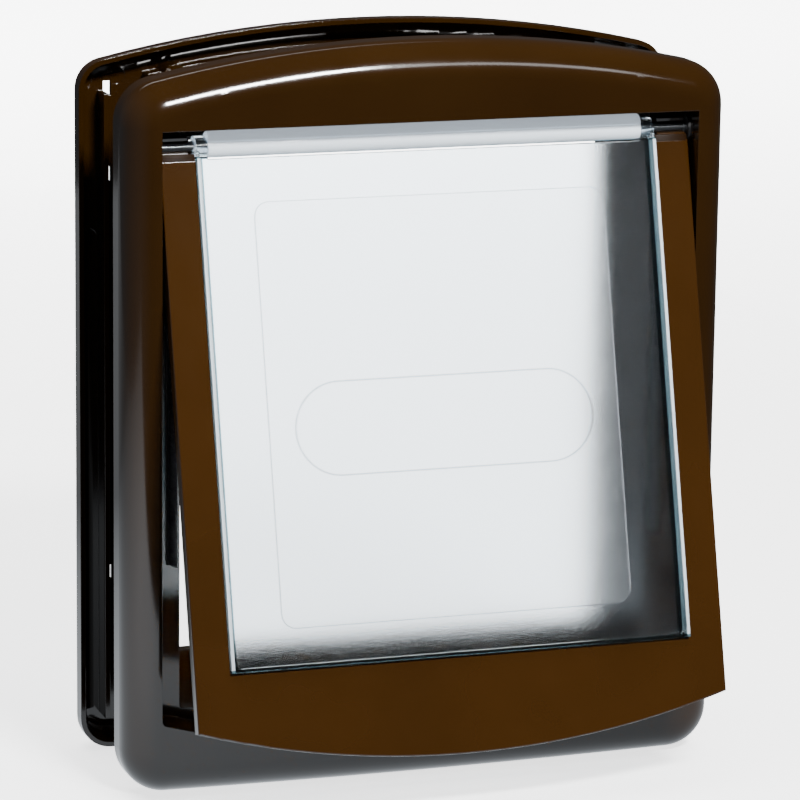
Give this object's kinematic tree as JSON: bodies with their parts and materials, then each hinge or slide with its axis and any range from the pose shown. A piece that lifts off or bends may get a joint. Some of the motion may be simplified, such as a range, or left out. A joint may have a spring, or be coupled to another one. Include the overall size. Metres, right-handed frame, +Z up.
{
  "type": "cat flap",
  "caption": "Brown moulded cat flap for a door: arched front and back frames, a tunnel, and a clear flap in a brown border tilted open.",
  "frame": {"origin": "middle of the lower edge of the front frame's rear rim, on the surface it stands on", "axes": "+X to the right seen from the front, +Z up, front faces -Y, +Y through the door"},
  "size_m": [0.294, 0.1646, 0.352],
  "materials": {
    "frame_plastic": "glossy",
    "rod_black": "glossy",
    "bush_black": "satin",
    "clear_plastic": "glossy",
    "magnet_metal": "satin",
    "pile": "matte",
    "screw_zinc": "satin"
  },
  "bodies": {
    "root": {"front_frame": "frame_plastic", "back_frame": "frame_plastic", "pivot_rod": "rod_black", "rod_bush_left": "bush_black", "rod_bush_right": "bush_black", "frame_magnet": "magnet_metal", "draught_strip_left": "pile", "draught_strip_right": "pile", "draught_strip_bottom": "pile", "fixing_screw_bottom_left": "screw_zinc", "fixing_screw_bottom_right": "screw_zinc", "fixing_screw_top_left": "screw_zinc", "fixing_screw_top_right": "screw_zinc", "screw_cap_bottom_left": "frame_plastic", "screw_cap_bottom_right": "frame_plastic", "screw_cap_top_left": "frame_plastic", "screw_cap_top_right": "frame_plastic"},
    "outer_flap": {"flap_border": "frame_plastic", "flap_magnet": "magnet_metal"},
    "inner_flap": {"clear_flap": "clear_plastic"}
  },
  "joints": [
    {"name": "border_swing", "type": "hinge", "parent": "root", "child": "outer_flap", "pos_m": [0, -0.0091, 0.3056], "axis": [-1, 0, 0], "range_deg": [-14.6, 70]},
    {"name": "clear_flap_swing", "type": "hinge", "parent": "outer_flap", "child": "inner_flap", "pos_m": [0, -0.0091, 0.3056], "axis": [1, 0, 0], "range_deg": [0, 85]}
  ]
}
